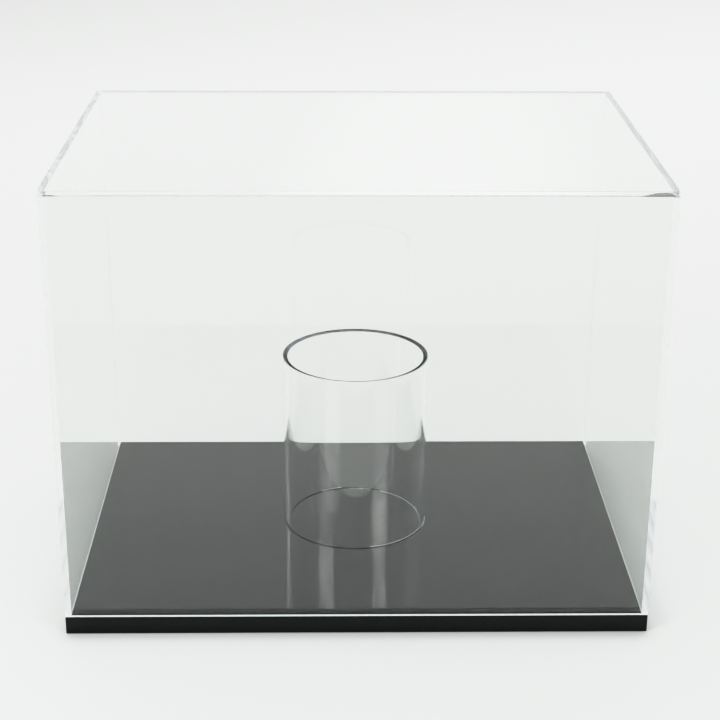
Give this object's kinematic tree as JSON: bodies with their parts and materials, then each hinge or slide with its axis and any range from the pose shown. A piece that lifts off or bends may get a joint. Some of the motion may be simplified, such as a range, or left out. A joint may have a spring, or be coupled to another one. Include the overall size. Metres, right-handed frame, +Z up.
{
  "type": "display case",
  "caption": "Rectangular clear acrylic display case whose five-sided cover lifts straight off a stepped gloss black base, with a clear tube as a riser in the middle.",
  "frame": {"origin": "on the surface that the case stands on, under the middle of the base", "axes": "+Z up, +X to the right along the longest side as seen from the front, +Y from the front to the back"},
  "size_m": [0.3, 0.216, 0.236],
  "materials": {
    "clear_sheet": "polished",
    "clear_tube": "polished",
    "black_sheet": "polished",
    "foot_rubber": "matte"
  },
  "bodies": {
    "base": {"base_slab": "black_sheet", "base_deck": "black_sheet", "riser_tube": "clear_tube", "foot_front_left": "foot_rubber", "foot_front_right": "foot_rubber", "foot_back_left": "foot_rubber", "foot_back_right": "foot_rubber"},
    "cover": {"top_panel": "clear_sheet", "front_panel": "clear_sheet", "back_panel": "clear_sheet", "left_panel": "clear_sheet", "right_panel": "clear_sheet"}
  },
  "joints": [
    {"name": "cover_lift", "type": "slide", "parent": "base", "child": "cover", "axis": [0, 0, 1], "range_m": [0, 0.24]}
  ]
}
